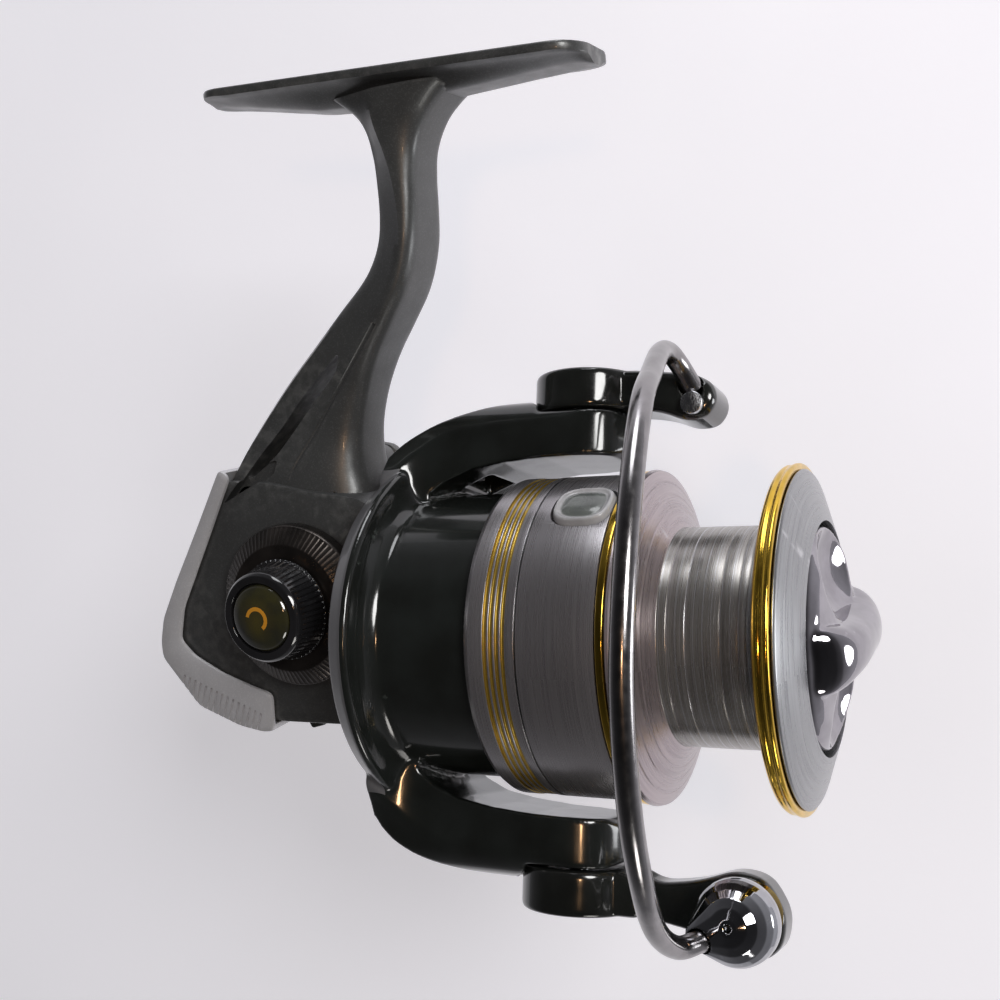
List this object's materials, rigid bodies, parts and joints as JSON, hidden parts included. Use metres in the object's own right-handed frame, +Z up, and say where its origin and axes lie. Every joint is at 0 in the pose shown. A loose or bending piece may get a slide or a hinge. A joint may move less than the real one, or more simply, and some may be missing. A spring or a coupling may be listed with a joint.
{
  "type": "spinning reel",
  "caption": "Front-drag spinning fishing reel with foot, stem, folding handle, rotor with flip-over bail, and a long-cast spool that moves in and out.",
  "frame": {"origin": "centre of the flat seat on top of the foot", "axes": "+X along the spool axis towards the front of the reel, +Y towards the handle side, +Z up through the foot"},
  "size_m": [0.1072, 0.1187, 0.1215],
  "materials": {
    "body_paint": "dark gunmetal paint, metallic flake, semi-gloss",
    "satin_silver": "silver grey satin",
    "steel": "machined",
    "collar_dark": "dark brown-black anodised, knurled",
    "black_plastic": "matte",
    "brass": "machined",
    "gloss_black_plastic": "glossy, knurled",
    "amber_lens": "clear dome over a dark amber ground",
    "handle_metal": "dark gunmetal paint",
    "grip_rubber": "matte soft grip",
    "slider_plastic": "moulded acetal",
    "gloss_black_paint": "glossy black paint with a green tint",
    "wire_metal": "satin dark chrome",
    "chrome": "polished",
    "bright_plating": "bright plated, polished",
    "gold_roller": "polished, coated",
    "spool_aluminium": "turned, satin anodised gunmetal",
    "gold_anodised": "bright gold anodised",
    "grey_plastic": "translucent grey",
    "felt": "greased felt"
  },
  "bodies": {
    "frame": {"body_housing": "body_paint", "side_cover": "body_paint", "rear_cover": "satin_silver", "cover_screw_1": "steel", "cover_screw_2": "steel", "cover_screw_3": "steel", "rear_cover_screw": "steel", "collar_ring": "collar_dark", "bearing_near": "steel", "bearing_far": "steel", "one_way_clutch": "steel", "main_bearing": "steel", "bearing_circlip": "steel"},
    "anti_reverse": {"anti_reverse_lever": "black_plastic"},
    "crank": {"drive_shaft": "steel", "drive_gear": "brass", "handle_cap": "gloss_black_plastic", "cap_lens": "amber_lens", "handle_shank": "body_paint", "handle_hinge_pin": "steel"},
    "handle": {"handle_arm": "handle_metal", "knob_axle": "steel"},
    "knob": {"handle_knob": "grip_rubber", "knob_end_cap": "steel"},
    "oscillation": {"oscillation_gear": "brass"},
    "rotor_assembly": {"pinion_gear": "brass", "rotor": "gloss_black_paint", "rotor_nut": "steel", "bail_spring": "steel", "bail_pivot_screw_upper": "steel", "bail_pivot_screw_lower": "steel"},
    "trip": {"trip_lever": "black_plastic"},
    "bail": {"bail_lever": "gloss_black_paint", "bail_arm": "gloss_black_paint", "bail_wire": "wire_metal", "bail_cone": "chrome", "wire_screw": "steel", "roller_screw": "steel"},
    "roller": {"line_roller": "gold_roller"},
    "spool_shaft": {"main_shaft": "steel", "oscillation_slider": "slider_plastic", "shaft_ratchet": "steel", "drag_washer_keyed": "steel"},
    "spool_body": {"spool": "spool_aluminium", "spool_lip_ring": "gold_anodised", "skirt_ring": "gold_anodised", "line_clip": "grey_plastic", "drag_washer_felt_1": "felt", "drag_washer_felt_2": "felt", "drag_washer_eared": "steel", "drag_clip": "steel"},
    "pawl": {"click_pawl": "black_plastic"},
    "drag_control": {"drag_knob": "bright_plating"}
  },
  "joints": [
    {"name": "handle_spin", "type": "hinge", "parent": "frame", "child": "crank", "pos_m": [-0.02, 0, -0.0729], "axis": [0, 1, 0], "continuous": true},
    {"name": "rotor_spin", "type": "hinge", "parent": "frame", "child": "rotor_assembly", "pos_m": [0.005, 0, -0.0793], "axis": [1, 0, 0], "continuous": true},
    {"name": "oscillation_gear_spin", "type": "hinge", "parent": "frame", "child": "oscillation", "pos_m": [-0.0305, 0, -0.0793], "axis": [0, 1, 0], "continuous": true},
    {"name": "spool_oscillation", "type": "slide", "parent": "frame", "child": "spool_shaft", "axis": [1, 0, 0], "range_m": [-0.00825, 0.00025]},
    {"name": "spool_drag_slip", "type": "hinge", "parent": "spool_shaft", "child": "spool_body", "pos_m": [0.04, 0, -0.0793], "axis": [1, 0, 0], "continuous": true},
    {"name": "drag_knob_turn", "type": "hinge", "parent": "spool_shaft", "child": "drag_control", "pos_m": [0.054, 0, -0.0793], "axis": [1, 0, 0], "range_deg": [-360, 360]},
    {"name": "bail_flip", "type": "hinge", "parent": "rotor_assembly", "child": "bail", "pos_m": [0.021, 0, -0.0793], "axis": [0, 0.2924, 0.9563], "range_deg": [0, 105]},
    {"name": "line_roller_spin", "type": "hinge", "parent": "bail", "child": "roller", "pos_m": [0.0448, -0.0135, -0.11114], "axis": [0, 0.9563, -0.2924], "continuous": true},
    {"name": "trip_lever_slide", "type": "slide", "parent": "rotor_assembly", "child": "trip", "axis": [1, 0, 0], "range_m": [0, 0.0012]},
    {"name": "click_pawl_rock", "type": "hinge", "parent": "spool_body", "child": "pawl", "pos_m": [0.0276, 0, -0.0697], "axis": [1, 0, 0], "range_deg": [-8, 8]},
    {"name": "handle_fold", "type": "hinge", "parent": "crank", "child": "handle", "pos_m": [-0.02, 0.027, -0.0729], "axis": [0.5736, 0, 0.8192], "range_deg": [0, 90]},
    {"name": "knob_spin", "type": "hinge", "parent": "handle", "child": "knob", "pos_m": [0.01932, 0.062, -0.10043], "axis": [0, 1, 0], "continuous": true},
    {"name": "anti_reverse_switch", "type": "hinge", "parent": "frame", "child": "anti_reverse", "pos_m": [-0.0222, 0, -0.0925], "axis": [0, 0, 1], "range_deg": [-12, 12]}
  ],
  "couplings": [
    {"joint": "rotor_spin", "follows": "handle_spin", "ratio": -5.2},
    {"joint": "oscillation_gear_spin", "follows": "handle_spin", "ratio": -0.5}
  ]
}
